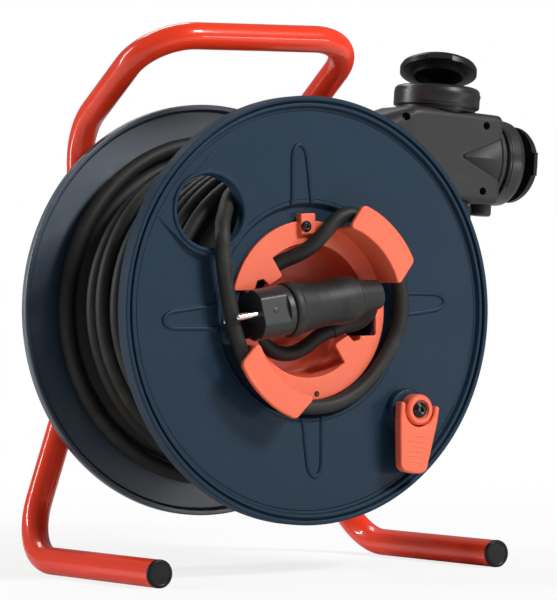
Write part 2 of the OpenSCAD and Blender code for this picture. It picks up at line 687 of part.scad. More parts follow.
// A socket outlet: a round collar over a spigot, with the recess, its pin holes and hinge ears
module socket(i) on_socket(i) difference() {
  union() {
    rotate_extrude($fn = 96) polygon([[0, -12], [spigot_r, -12], [spigot_r, 0], [30.4, 0], [30.4, 2.6],
      [32.6, 2.6], [socket_r, 3.6], [socket_r, socket_h - 5], [33, socket_h - 2.4],
      [31.6, socket_h - 0.8], [29.4, socket_h], [0, socket_h]]);
    for (s = [-1, 1]) translate([s * 10 - 2.4, 0, 0]) {
      translate([0, hinge[1], hinge[2]]) rotate([0, 90, 0]) cylinder(r = 3.8, h = 4.8);
      translate([0, 30.4, 8]) cube([4.8, hinge[1] + 3.8 - 30.4, hinge[2] - 8]);
    }
  }
  disc(recess_r, socket_h - recess_d, socket_h + 1);
  for (s = [-1, 1]) translate([s * pin_gap / 2, 0, 0]) disc(2.9, -10, socket_h);
  translate([-20, hinge[1], hinge[2]]) rotate([0, 90, 0]) cylinder(r = 1.6, h = 40);
  // room for the lid's knuckle
  translate([-7.6, hinge[1], hinge[2]]) rotate([0, 90, 0]) cylinder(r = 4.6, h = 15.2);
}

module socket_top() color(GREY) socket(0);
module socket_right() color(GREY) socket(1);
module socket_bottom() color(GREY) socket(2);

module earth_clips() color(STEEL) for (i = [0:2]) on_socket(i) for (s = [-1, 1])
  translate([-2.2, s > 0 ? recess_r - 1.7 : 0.5 - recess_r, socket_h - recess_d])
    cube([4.4, 1.2, 12]);

module contact_sleeves() color(STEEL) for (i = [0:2]) on_socket(i) for (s = [-1, 1])
  translate([s * pin_gap / 2, 0, 0]) ring(2.9, 2.45, -10, socket_h - recess_d - 0.6);

// A domed lid on a hinge at its rear, with a finger tab in front and a sealing ring below
module lid(i) on_socket(i) translate(hinge) rotate([-lid_open[i], 0, 0]) translate(-hinge)
  difference() {
    union() {
      rotate_extrude($fn = 96) polygon([[0, 21.6], [17, 21.6], [17, 16.6], [19, 16.6], [19, 19.4],
        [lid_r, 19.4], [lid_r, 23.4], [lid_r - 1.2, 25.4], [lid_r - 4, 26.9], [lid_r - 10, 27.8],
        [0, 28.2]]);
      translate([-9, -lid_r - 1.4, 19.4]) cube([18, 12, 3.4]);
      translate([-7, 24, 21]) cube([14, hinge[1] - 24, 4.3]);
      translate([-7, hinge[1], hinge[2]]) rotate([0, 90, 0]) cylinder(r = 3.8, h = 14);
    }
    translate([-20, hinge[1], hinge[2]]) rotate([0, 90, 0]) cylinder(r = 1.65, h = 40);
  }

module lid_top() color(BLACK) lid(0);
module lid_right() color(BLACK) lid(1);
module lid_bottom() color(BLACK) lid(2);

module lid_pins() color(STEEL) for (i = [0:2]) on_socket(i) translate([-12.4, hinge[1], hinge[2]])
  rotate([0, 90, 0]) cylinder(r = 1.6, h = 24.8);

// ---------------------------------------------------------------- pieces

frame_tube();
foot_caps();
cross_plate();
tube_clamps();
clamp_bolts();
clamp_nuts();
axle();
axle_nut();
axle_washer();
axle_bolt();
block_cradle();
cradle_strap();
cradle_screws();
front_flange();
rear_flange();
drum_core();
front_bush();
rear_bush();
flange_screws();
rear_screws();
plug_holder();
holder_screws();
cable_core();
cable_winding();
pigtail_cord();
plug_body();
plug_face();
plug_pins();
plug_contacts();
plug_boot();
crank_screw();
crank_nut();
crank_hub();
crank_pins();
crank_handle();
tail_cord();
block_boot();
block_gland();
block_front_shell();
block_rear_shell();
block_screws();
socket_top();
socket_right();
socket_bottom();
earth_clips();
contact_sleeves();
lid_top();
lid_right();
lid_bottom();
lid_pins();
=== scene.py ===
"""Extension cord reel: a drum of rubber cable on a stand of bent tube, with a crank, a parked plug
and a block of three lidded sockets. Pieces are drawn in millimetres in the frame of what carries
them, and placed in the part's own frame in metres."""

import math

import bmesh
import bpy
from mathutils import Matrix, Vector, noise


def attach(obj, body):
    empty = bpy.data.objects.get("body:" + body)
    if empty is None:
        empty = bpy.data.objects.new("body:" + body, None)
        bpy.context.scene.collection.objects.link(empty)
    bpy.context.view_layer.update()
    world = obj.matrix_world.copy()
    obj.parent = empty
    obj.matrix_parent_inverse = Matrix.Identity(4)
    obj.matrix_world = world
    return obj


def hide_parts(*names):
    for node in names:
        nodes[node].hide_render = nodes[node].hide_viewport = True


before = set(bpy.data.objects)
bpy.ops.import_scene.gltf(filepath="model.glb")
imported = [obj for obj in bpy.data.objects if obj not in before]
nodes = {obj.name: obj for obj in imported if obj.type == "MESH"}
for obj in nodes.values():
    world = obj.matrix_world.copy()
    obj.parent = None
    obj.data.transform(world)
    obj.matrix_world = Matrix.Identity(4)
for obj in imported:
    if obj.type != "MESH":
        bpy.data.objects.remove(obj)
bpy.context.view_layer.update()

# ------------------------------------------------------------------ frames


def shift(x, y, z):
    return Matrix.Translation((x, y, z))


def turn(axis, degrees):
    return Matrix.Rotation(math.radians(degrees), 4, axis)


def polar(radius, degrees):
    return radius * math.cos(math.radians(degrees)), radius * math.sin(math.radians(degrees))


# FACE lies on the axle in the front rim, with Z towards the front. DRUM is FACE, turned as far as
# the drum is at rest. The other frames lie in these two, and BLOCK is on the stand.
AXLE_HEIGHT = 191
DRUM_TURN = 3.5
PLUG_AT, PLUG_TURN = (-56.5, -2.9, 8), 7.5
MM = Matrix.Scale(0.001, 4)
FACE = MM @ shift(0, -82, AXLE_HEIGHT) @ turn("X", 90)
DRUM = FACE @ turn("Z", DRUM_TURN)
HOLE_AT = polar(111.3, 136.4)
PAD = DRUM @ shift(*HOLE_AT, 0) @ turn("Z", 133)
PLUG = FACE @ shift(*PLUG_AT) @ turn("Z", PLUG_TURN) @ turn("X", -9) @ turn("Y", 90)
CRANK = DRUM @ turn("Z", -45) @ shift(111, 0, 0) @ turn("Z", 33.5)
BLOCK = MM @ shift(188, 48, 308.6) @ turn("Y", 5) @ turn("X", 90)
SOCKETS = {
    name: BLOCK @ shift(x, y, 0) @ turn("Z", a) @ turn("X", -90) @ turn("Z", b)
    for name, x, y, a, b in (("top", 8, 35, 0, -32), ("right", 55, 0, -90, 0))
}

# ------------------------------------------------------------------ camera

camera = bpy.data.objects.new("camera", bpy.data.cameras.new("camera"))
camera.data.sensor_width = 36
camera.data.lens = 222.41
camera.data.clip_end = 60
right, up, back = (
    Vector((0.8470718, -0.5313673, -0.0108662)),
    Vector((0.0130172, 0.0003034, 0.9999152)),
    Vector((-0.531319, -0.8471415, 0.007174)),
)
camera.matrix_world = Matrix.Translation((-1.43997, -2.33147, 0.21802)) @ Matrix(
    (right, up, back)
).transposed().to_4x4()
bpy.context.scene.collection.objects.link(camera)
bpy.context.scene.camera = camera

# ------------------------------------------------------------------ finishes


def tone(r, g, b):
    """A colour by its eight-bit values, as the shader wants it."""
    return tuple(
        c / 12.92 if c <= 0.04045 else ((c + 0.055) / 1.055) ** 2.4
        for c in (r / 255, g / 255, b / 255)
    )


def dim(colour, by):
    return tuple(c * by for c in colour[:3]) + (1,)


class Wire:
    """A socket of a finish's nodes. Sums, differences and products add their Math nodes."""

    def __init__(self, finish, socket):
        self.finish, self.socket = finish, socket

    def maths(self, operation, *values):
        return self.finish.add("Math", {"operation": operation}, dict(enumerate(values)))

    def __add__(self, other):
        return self.maths("ADD", self, other)

    def __sub__(self, other):
        return self.maths("SUBTRACT", self, other)

    def __rsub__(self, other):
        return self.maths("SUBTRACT", other, self)

    def __mul__(self, other):
        return self.maths("MULTIPLY", self, other)

    def between(self, low, high):
        """0 below low, 1 above high, and smooth between."""
        return self.finish.add(
            "MapRange", {"interpolation_type": "SMOOTHSTEP"}, {0: self, 1: low, 2: high}
        )

    __radd__, __rmul__ = __add__, __mul__


class Finish:
    """A material: its constant sockets are given at the start, and the rest are wired after."""

    def __init__(self, name, colour, roughness, slot, **sockets):
        self.material = bpy.data.materials.new(name)
        self.slot = slot
        self.material.use_nodes = True
        self.tree = self.material.node_tree
        self.shader = self.tree.nodes["Principled BSDF"]
        self.colour, self.roughness = (*tone(*colour), 1), roughness
        self.set(Base_Color=self.colour, Roughness=roughness, **sockets)
        self.place = self.add("TexCoord", {}, {}, "Object")
        self.relief = self.add("Bevel", {"samples": 4}, {"Radius": 0.0005})

    def add(self, kind, settings, values, out=0):
        node = self.tree.nodes.new("ShaderNode" + kind)
        for name, value in settings.items():
            setattr(node, name, value)
        for key, value in values.items():
            self.feed(node.inputs[key], value)
        return Wire(self, node.outputs[out])

    def feed(self, socket, value):
        if isinstance(value, Wire):
            self.tree.links.new(value.socket, socket)
        else:
            socket.default_value = value

    def set(self, **sockets):
        for name, value in sockets.items():
            self.feed(self.shader.inputs[name.replace("_", " ")], value)

    def noise(self, scale, detail, at=None, roughness=0.5):
        return self.add(
            "TexNoise",
            {},
            {"Vector": at or self.place, "Scale": scale, "Detail": detail, "Roughness": roughness},
        )

    def stretched(self, x, y, z):
        return self.add("Mapping", {}, {"Vector": self.place, "Scale": (x, y, z)})

    def blend(self, share, a, b):
        return self.add("Mix", {"data_type": "RGBA"}, {"Factor": share, 6: a, 7: b}, 2)

    def bump(self, height, distance, strength=1.0):
        """Adds a relief; distance is its height in metres for a height of 1."""
        values = {"Height": height, "Distance": distance, "Strength": strength}
        values["Normal"] = self.relief
        self.relief = self.add("Bump", {}, values)
        self.set(Normal=self.relief)

    def edges(self, radius=0.0012):
        """1 at edges and corners, 0 elsewhere, from how far the surface turns nearby."""
        rounded = self.add("Bevel", {"samples": 4}, {"Radius": radius})
        plain = self.add("NewGeometry", {}, {}, "Normal")
        along = self.add("VectorMath", {"operation": "DOT_PRODUCT"}, {0: rounded, 1: plain}, 1)
        return (1 - along).between(0.02, 0.25)


def moulded(name, colour, roughness, slot, grain, depth, pale, dust, worn, **sockets):
    """A moulded plastic or rubber. grain is the scale of its fine relief and depth its height in
    metres; pale is the colour of its dust and specks, by the share dust, and of its rubbed edges,
    by the share worn."""
    f = Finish(name, colour, roughness, slot, **sockets)
    pale = (*tone(*pale), 1)
    cloud = f.noise(11, 4)
    fine = f.noise(320, 2)
    rub = f.noise(30, 5, roughness=0.66)
    specks = f.noise(900, 1).between(0.72, 0.78)
    tinted = f.blend(
        (cloud - 0.5) * 0.7 + (fine - 0.5) * 0.25 + 0.5, dim(f.colour, 0.84), dim(f.colour, 1.16)
    )
    dusty = f.blend(rub.between(0.5, 0.78) * dust + specks * dust, tinted, pale)
    f.set(
        Base_Color=f.blend(f.edges() * (rub * 0.8 + 0.3) * worn, dusty, pale),
        Roughness=(cloud - 0.5) * 0.14 + rub.between(0.45, 0.75) * 0.1 + (roughness - 0.03),
    )
    f.bump(f.noise(grain, 2), depth)
    return f


def metal(name, colour, roughness, slot):
    """Plated or turned metal with a fine brushed relief and small dull spots."""
    f = Finish(name, colour, roughness, slot, Metallic=1.0)
    spots = f.noise(420, 3).between(0.6, 0.75)
    haze = f.noise(60, 4)
    f.set(
        Base_Color=f.blend(spots * 0.35 + haze * 0.15, f.colour, dim(f.colour, 0.6)),
        Roughness=haze * 0.16 + spots * 0.15 + (roughness - 0.06),
    )
    f.bump(f.noise(1400, 2, f.stretched(1, 6, 1)), 0.00001)
    return f


paint = Finish(
    "red_paint", (238, 60, 30), 0.34, "red_paint", Coat_Weight=0.6, Coat_Roughness=0.04,
    Specular_IOR_Level=0.15,
)  # fmt: skip
grime = paint.noise(24, 5, roughness=0.6)
flecks = paint.noise(700, 1).between(0.74, 0.79)
paint.set(
    Base_Color=paint.blend(
        grime.between(0.5, 0.85) * 0.22 + flecks * 0.3 + paint.edges() * grime * 0.5,
        paint.colour,
        (*tone(142, 24, 12), 1),
    ),
    Roughness=grime * 0.14 + 0.22,
)
paint.bump(paint.noise(420, 1), 0.00006, 0.4)
paint.bump(paint.noise(60, 2), 0.00012, 0.4)

navy = moulded(
    "navy_plastic", (27, 47, 64), 0.44, "navy_plastic", 2400, 0.00002, (92, 108, 126), 0.045, 0.3,
    Specular_IOR_Level=0.15,
)  # fmt: skip
satin_navy = moulded(
    "satin_navy_plastic", (30, 49, 67), 0.42, "navy_plastic", 2400, 0.00002, (112, 128, 146), 0.08,
    0.22, Specular_IOR_Level=1.0, Coat_Weight=0.6, Coat_Roughness=0.45,
)  # fmt: skip
salmon = moulded(
    "salmon_plastic", (236, 106, 74), 0.46, "salmon_plastic", 2200, 0.00002, (255, 190, 168), 0.08,
    0.2, Specular_IOR_Level=0.4, Subsurface_Weight=0.06, Subsurface_Scale=0.004,
)  # fmt: skip
rubber = moulded(
    "cable_rubber", (34, 35, 33), 0.58, "cable_rubber", 1500, 0.00004, (112, 112, 106), 0.16, 0.0,
    Specular_IOR_Level=0.3,
)  # fmt: skip
plug_rubber = moulded(
    "plug_rubber", (31, 31, 30), 0.52, "black_rubber", 1100, 0.00006, (128, 128, 126), 0.2, 0.15,
    Specular_IOR_Level=0.35,
)  # fmt: skip
plug_black = moulded(
    "plug_plastic", (36, 36, 36), 0.42, "black_plastic", 2000, 0.00003, (120, 120, 120), 0.12, 0.3,
    Specular_IOR_Level=0.5,
)  # fmt: skip
black = moulded(
    "black_plastic", (14, 14, 14), 0.4, "black_plastic", 2600, 0.00001, (96, 96, 96), 0.08, 0.25,
    Specular_IOR_Level=0.22,
)  # fmt: skip
grey = moulded(
    "grey_plastic", (45, 45, 45), 0.52, "grey_plastic", 1700, 0.00005, (120, 120, 120), 0.13, 0.16,
    Specular_IOR_Level=0.3,
)  # fmt: skip
collar_black = moulded(
    "collar_plastic", (34, 34, 34), 0.36, "black_plastic", 1900, 0.00003, (120, 120, 120), 0.1, 0.2,
    Specular_IOR_Level=0.45,
)  # fmt: skip
lid_black = moulded(
    "lid_plastic", (21, 21, 21), 0.42, "lid_plastic", 2400, 0.00003, (96, 96, 96), 0.1, 0.15,
    Specular_IOR_Level=0.3,
)  # fmt: skip
steel = metal("steel", (196, 196, 200), 0.3, "steel")
contact = metal("plated_contacts", (214, 210, 203), 0.15, "plated_contacts")
black_steel = moulded(
    "black_steel", (18, 18, 19), 0.26, "black_steel", 2600, 0.00001, (150, 150, 152), 0.06, 0.35,
    Metallic=0.3,
)  # fmt: skip

FINISH_OF = {
    paint: "frame_tube cross_plate tube_clamps block_cradle cradle_strap",
    black: "foot_caps front_bush rear_bush plug_face",
    black_steel: "clamp_bolts cradle_screws rear_screws holder_screws crank_screw block_screws",
    steel: "clamp_nuts axle axle_nut axle_washer axle_bolt flange_screws crank_nut crank_pins "
    "lid_pins",
    navy: "front_flange rear_flange drum_core",
    salmon: "plug_holder crank_hub crank_handle",
    rubber: "cable_core cable_winding pigtail_cord tail_cord",
    plug_rubber: "plug_body plug_boot block_boot block_gland",
    contact: "plug_pins plug_contacts earth_clips contact_sleeves",
    grey: "block_front_shell block_rear_shell",
    collar_black: "socket_top socket_right socket_bottom",
    lid_black: "lid_top lid_right lid_bottom",
}
SHARP = math.radians(32)


def dressed(mesh, finish):
    """Gives a mesh its finish, smooth but for the edges that turn by more than SHARP."""
    mesh.materials.clear()
    mesh.materials.append(finish.material)
    for face in mesh.polygons:
        face.use_smooth = True
    mesh.set_sharp_from_angle(angle=SHARP)


for finish, names in FINISH_OF.items():
    for name in names.split():
        dressed(nodes[name].data, finish)

# ------------------------------------------------------------------ making pieces

MERGE = 1e-4
NEARLY_STRAIGHT = 1.56


def finished(name, bm, place, body, finish, stands_for=()):
    """Makes a piece of a bmesh drawn in a local frame, in millimetres."""
    bmesh.ops.remove_doubles(bm, verts=bm.verts, dist=MERGE)
    bmesh.ops.recalc_face_normals(bm, faces=bm.faces)
    bmesh.ops.triangulate(bm, faces=[f for f in bm.faces if len(f.verts) > 4])
    bm.transform(place)
    mesh = bpy.data.meshes.new(name)
    bm.to_mesh(mesh)
    bm.free()
    dressed(mesh, finish)
    piece = bpy.data.objects.new(name, mesh)
    bpy.context.scene.collection.objects.link(piece)
    piece.modifiers.new("normals", "WEIGHTED_NORMAL").keep_sharp = True
    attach(piece, body)
    if stands_for:
        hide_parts(*stands_for)
    return piece


def arc(centre, radius, start, end, steps):
    """Points of an arc in a profile, angles in degrees."""
    return [
        (
            centre[0] + radius * math.cos(math.radians(start + (end - start) * i / steps)),
            centre[1] + radius * math.sin(math.radians(start + (end - start) * i / steps)),
        )
        for i in range(steps + 1)
    ]


def corner_arc(middle, u, v, steps):
    """Points round middle, from its arm u to its arm v."""
    whole = u.angle(v)
    return [
        middle
        + (u * math.sin((1 - k / steps) * whole) + v * math.sin(k / steps * whole))
        / math.sin(whole)
        for k in range(steps + 1)
    ]


def eased(corners, steps=4, closed=False):
    """A line through (x, y, rounding) corners, each rounded with an arc."""
    out = []
    n = len(corners)
    for i, p in enumerate(corners):
        r = p[2] if len(p) > 2 else 0
        here = Vector(p[:2])
        if not r or (not closed and i in (0, n - 1)):
            out.append(here)
            continue
        a, b = Vector(corners[i - 1][:2]) - here, Vector(corners[(i + 1) % n][:2]) - here
        half = a.angle(b) / 2
        if half > NEARLY_STRAIGHT:
            out.append(here)
            continue
        reach = min(r / math.tan(half), a.length * 0.49, b.length * 0.49)
        start, end = here + a.normalized() * reach, here + b.normalized() * reach
        middle = here + (a.normalized() + b.normalized()).normalized() * reach / math.cos(half)
        out += corner_arc(middle, start - middle, end - middle, steps)
    return out


def joined(new, bm):
    """Adds a bmesh to another."""
    if bm is None:
        return new
    mesh = bpy.data.meshes.new("part")
    new.to_mesh(mesh)
    new.free()
    bm.from_mesh(mesh)
    bpy.data.meshes.remove(mesh)
    return bm


def lathe(profile, steps=96, bm=None, place=None, start=0.0, sweep=360.0):
    """Spins a profile of (radius, height) about Z. Part of a turn closes with its two ends."""
    new = bmesh.new()
    whole = sweep >= 360
    line = [new.verts.new((p[0], 0, p[1])) for p in profile]
    edges = [new.edges.new(pair) for pair in zip(line, line[1:])]
    if not whole:
        edges.append(new.edges.new((line[-1], line[0])))
    bmesh.ops.rotate(new, verts=line, cent=(0, 0, 0), matrix=turn("Z", start).to_3x3())
    bmesh.ops.spin(
        new,
        geom=line + edges,
        cent=(0, 0, 0),
        axis=(0, 0, 1),
        angle=math.radians(sweep),
        steps=steps,
        use_merge=whole,
    )
    bmesh.ops.remove_doubles(new, verts=new.verts, dist=MERGE)
    if not whole:
        bmesh.ops.holes_fill(new, edges=[e for e in new.edges if e.is_boundary], sides=0)
    bmesh.ops.recalc_face_normals(new, faces=new.faces)
    if place:
        new.transform(place)
    return joined(new, bm)


def plate(loops, low, high, top=0.8, foot=0.0, bm=None, place=None, lie=None, segments=4):
    """A flat piece between its loops, the first of them its outline and others its holes, raised
    from low to high. Its edges are rounded by top and foot. lie(x, y) gives another height of its
    top."""
    new = bmesh.new()
    edges = []
    for loop in loops:
        verts = [new.verts.new((p[0], p[1], low)) for p in loop]
        edges += [new.edges.new(pair) for pair in zip(verts, verts[1:] + verts[:1])]
    if len(loops) > 1:
        bmesh.ops.triangle_fill(new, use_beauty=True, edges=edges, normal=(0, 0, 1))
    else:
        new.faces.new(verts)
    grown = bmesh.ops.extrude_face_region(new, geom=new.faces[:])["geom"]
    raised = [g for g in grown if isinstance(g, bmesh.types.BMVert)]
    for v in raised:
        v.co.z = lie(v.co.x, v.co.y) if lie else high
    bmesh.ops.recalc_face_normals(new, faces=new.faces)
    raised = set(raised)
    for size, ring in ((top, True), (foot, False)):
        if size:
            sharp = [
                e
                for e in new.edges
                if all(v.is_valid and (v in raised) == ring for v in e.verts)
                and len(e.link_faces) == 2
                and e.calc_face_angle() > 0.8
                and (ring or all(abs(v.co.z - low) < 1e-5 for v in e.verts))
            ]
            bmesh.ops.bevel(
                new,
                geom=sharp,
                offset=size,
                offset_type="OFFSET",
                segments=segments,
                profile=0.5,
                affect="EDGES",
                clamp_overlap=False,
                material=-1,
            )
            raised = {v for v in new.verts if v.co.z > low + 1e-5} if ring else raised
    if place:
        new.transform(place)
    return joined(new, bm)


def circle(centre, radius, steps=64):
    return arc(centre, radius, 0, 360, steps)[:-1]


def edges_among(geom, verts):
    """The edges of geom whose two ends are in verts."""
    return [
        g for g in geom if isinstance(g, bmesh.types.BMEdge) and all(v in verts for v in g.verts)
    ]


def headed(radius, height, dome, key, bm=None, place=None):
    """A round screw head on z = 0 with a hexagonal key hole of the given width."""
    pit = key * 0.68
    mouth = height - 0.4
    side = [
        (radius, 0), (radius, height - dome, dome), (pit + 0.3, height, 0.2), (pit, height - 0.25)
    ]  # fmt: skip
    new = lathe([(radius, -0.5)] + eased(side), 24)
    rim = [e for e in new.edges if e.is_boundary and all(v.co.z > mouth for v in e.verts)]
    across = key / math.cos(math.pi / 6)
    hexagon = bmesh.ops.create_circle(new, segments=6, radius=across / 2)["verts"]
    bmesh.ops.translate(new, verts=hexagon, vec=(0, 0, mouth))
    six = list({e for v in hexagon for e in v.link_edges})
    bmesh.ops.bridge_loops(new, edges=rim + six)
    down = bmesh.ops.extrude_edge_only(new, edges=six)["geom"]
    bottom = [g for g in down if isinstance(g, bmesh.types.BMVert)]
    bmesh.ops.translate(new, verts=bottom, vec=(0, 0, -min(height * 0.7, 2.2)))
    bmesh.ops.contextual_create(new, geom=edges_among(down, set(bottom)))
    bmesh.ops.holes_fill(new, edges=[e for e in new.edges if e.is_boundary], sides=0)
    if place:
        new.transform(place)
    return joined(new, bm)


def lofted(rings, bm=None, place=None):
    """A body through rings of equally many points: one ring is extruded to the next."""
    new = bmesh.new()
    line = [new.verts.new(p) for p in rings[0]]
    edges = [new.edges.new(pair) for pair in zip(line, line[1:] + line[:1])]
    bmesh.ops.contextual_create(new, geom=edges)
    order = {v: i for i, v in enumerate(line)}
    for ring in rings[1:]:
        grown = bmesh.ops.extrude_edge_only(new, edges=edges)["geom"]
        fresh = {}
        for v in (g for g in grown if isinstance(g, bmesh.types.BMVert)):
            partner = next(e.other_vert(v) for e in v.link_edges if e.other_vert(v) in order)
            fresh[v] = order[partner]
        edges = edges_among(grown, fresh)
        for v, i in fresh.items():
            v.co = ring[i]
        order = fresh
    bmesh.ops.contextual_create(new, geom=edges)
    bmesh.ops.recalc_face_normals(new, faces=new.faces)
    if place:
        new.transform(place)
    return joined(new, bm)


def carved(bm, *cutters):
    """What is left of a closed bmesh when others are cut out of it."""
    things = []
    for shape in (bm, *cutters):
        bmesh.ops.remove_doubles(shape, verts=shape.verts, dist=MERGE)
        bmesh.ops.recalc_face_normals(shape, faces=shape.faces)
        mesh = bpy.data.meshes.new("part")
        shape.to_mesh(mesh)
        shape.free()
        things.append(bpy.data.objects.new("part", mesh))
        bpy.context.scene.collection.objects.link(things[-1])
    for cutter in things[1:]:
        m = things[0].modifiers.new("cut", "BOOLEAN")
        m.operation, m.solver, m.object = "DIFFERENCE", "EXACT", cutter
    out = bmesh.new()
    out.from_object(things[0], bpy.context.evaluated_depsgraph_get())
    for thing in things:
        mesh = thing.data
        bpy.data.objects.remove(thing)
        bpy.data.meshes.remove(mesh)
    return out


def flowing(points, step):
    """A smooth line through points, with its own points about step apart."""
    p = [Vector(q) for q in points]
    p = [p[0] * 2 - p[1]] + p + [p[-1] * 2 - p[-2]]
    out = []
    for a, b, c, d in zip(p, p[1:], p[2:], p[3:]):
        n = max(1, round((c - b).length / step))
        for k in range(n):
            t = k / n
            out.append(
                0.5
                * (
                    2 * b
                    + (c - a) * t
                    + (2 * a - 5 * b + 4 * c - d) * t * t
                    + (3 * b - a - 3 * c + d) * t**3
                )
            )
    return out + [p[-2]]


def bent(points, radii, step):
    """A line of straights through corner points, with an arc of its own radius at each, a point
    for every step degrees."""
    p = [Vector(q) for q in points]
    out = [p[0]]
    for i, r in enumerate(radii, 1):
        a, b = (p[i - 1] - p[i]).normalized(), (p[i + 1] - p[i]).normalized()
        half = a.angle(b) / 2
        middle = p[i] + (a + b).normalized() * r / math.sin(half)
        u = p[i] + a * r / math.tan(half) - middle
        v = p[i] + b * r / math.tan(half) - middle
        out += corner_arc(middle, u, v, max(4, round(math.degrees(u.angle(v)) / step)))
    return out + [p[-1]]


def swept(points, radii, sides, inwards=None, bm=None):
    """A round tube along points: a ring is extruded from point to point. inwards says where its
    first corner lies."""
    new = bmesh.new()
    points = [Vector(p) for p in points]
    radii = radii if isinstance(radii, list) else [radii] * len(points)
    ring = bmesh.ops.create_circle(new, cap_ends=True, segments=sides, radius=1)["verts"]
    n = len(points)
    heading = [
        (points[min(i + 1, n - 1)] - points[max(i - 1, 0)]).normalized() for i in range(n)
    ]
    side = (Vector(inwards) if inwards else heading[0].orthogonal()).normalized()
    frames = []
    for i in range(n):
        side = (side - heading[i] * side.dot(heading[i])).normalized()
        axes = Matrix((side, heading[i].cross(side), heading[i])).transposed().to_4x4()
        frames.append(Matrix.Translation(points[i]) @ axes @ Matrix.Scale(radii[i], 4))
    bmesh.ops.transform(new, matrix=frames[0], verts=ring)
    edges = new.edges[:]
    for i in range(1, n):
        grown = bmesh.ops.extrude_edge_only(new, edges=edges)["geom"]
        fresh = [g for g in grown if isinstance(g, bmesh.types.BMVert)]
        bmesh.ops.transform(new, matrix=frames[i] @ frames[i - 1].inverted(), verts=fresh)
        edges = edges_among(grown, set(fresh))
    bmesh.ops.contextual_create(new, geom=edges)
    return joined(new, bm)


# ------------------------------------------------------------------ cable

CORD = 11.0
TURNS, PITCH = 9.25, 11.9
FIRST_DEPTH, FIRST_ANGLE = 17, 118
DIVE = 7
STEPS_A_TURN = 72
# How the winding lies: by depth behind the front rim, how far it is from the axis.
WIND_LAY = [
    (0, 99), (17, 99.5), (29, 103.8), (41, 107), (60, 107), (92, 105), (104, 107.4),
    (115.6, 115.4), (127, 110), (140, 110),
]  # fmt: skip


def lay_radius(depth):
    """The distance of the winding's centre line from the axis at a depth."""
    for (a, r), (b, s) in zip(WIND_LAY, WIND_LAY[1:]):
        if depth <= b:
            return r + (s - r) * (depth - a) / (b - a)
    return WIND_LAY[-1][1]


def on_turns(t):
    """A point of the winding after t turns, in the drum's frame. It wanders a little, and dives
    under the others in its last sixth of a turn."""
    depth = FIRST_DEPTH + PITCH * t
    sink = DIVE * max(0.0, 1 - (TURNS - t) * 6)
    a = math.radians(FIRST_ANGLE - DRUM_TURN - 360 * t)
    r = lay_radius(depth) - sink + 0.5 * noise.noise((2 * math.cos(a), 2 * math.sin(a), t * 0.7))
    wander = 0.35 * noise.noise((2 * math.sin(a), 2 * math.cos(a), 9 + t * 0.7))
    return Vector((r * math.cos(a), r * math.sin(a), -depth + wander))


def cord_piece(name, place, points, body, seam, **facts):
    """A length of the cable along points, drawn in a local frame. seam says where the first corner
    of its section lies."""
    piece = finished(name + "_run", swept(points, CORD / 2, 20, seam), place, body, rubber, [name])
    path = [place @ Vector(p) for p in points]
    length = sum((b - a).length for a, b in zip(path, path[1:]))


cord_piece(
    "cable_winding",
    DRUM,
    [on_turns(i / STEPS_A_TURN) for i in range(round(TURNS * STEPS_A_TURN) + 1)],
    "drum",
    (-on_turns(0)).normalized(),
    far_end="object",
    lay="coiled",
)

# In FACE: out of the window, round outside the dish under both wings, and back through the dish.
PIGTAIL = [
    (-71, 69, -4.5), (-76.5, 61.5, 2), (-79.5, 52.5, 7), (-80.2, 43, 8), (-79.5, 32, 8),
    (-77.5, 18, 8), (-74.4, 4, 8), (-71.5, -10, 7.6), (-66.5, -24, 6.8), (-59.5, -38, 6),
    (-49.5, -51, 5), (-36, -61, 3.6), (-20, -67.3, 2), (-2, -69.5, 0.4), (16, -68.3, -0.8),
    (33, -62.2, -1.2), (48, -52, -1.2), (60, -38.5, -1.1), (68.5, -25, 0), (73.8, -11, 1.7),
    (75.6, 3, 2.2), (73.8, 17, 3), (68.3, 31, 4.2), (60.5, 43.5, 5.4), (51, 54.5, 6.4),
    (40.5, 64, 7.2), (29, 69.5, 7.4), (17.5, 66, 6.8), (9, 57.5, 5.4), (1, 48.5, 2.4),
    (-8.5, 41, -3.6), (-20, 35, -11.2), (-31, 27, -16), (-38.5, 16.5, -18), (-41.8, 4, -18.5),
    (-40.5, -9.5, -18.3), (-33.5, -21, -18), (-22.5, -28.8, -18.5), (-10, -31.2, -18.4),
    (1.5, -27.5, -16.4), (12.6, -19, -12.8),
]  # fmt: skip
BOOT_END, BOOT_TURN = Vector((23, -14.5, -11)), Vector((32.5, -10.4, -9.4))
drum_turn = turn("Z", DRUM_TURN).to_3x3()
start = on_turns(0)
ahead = (start - on_turns(1 / 24)).normalized()
cord_piece(
    "pigtail_cord",
    FACE,
    flowing([drum_turn @ start, drum_turn @ (start + 12 * ahead), *PIGTAIL, BOOT_END], 3),
    "drum",
    (0, 0, -1),
    far_end="plug",
    lay="loose",
    with_pieces=[nodes[n] for n in "plug_body plug_face plug_pins plug_contacts plug_boot".split()],
)


def block_point(u):
    """A point u along the block's middle line, in millimetres."""
    return tuple(1000 * c for c in BLOCK @ Vector((u, 0, 0)))


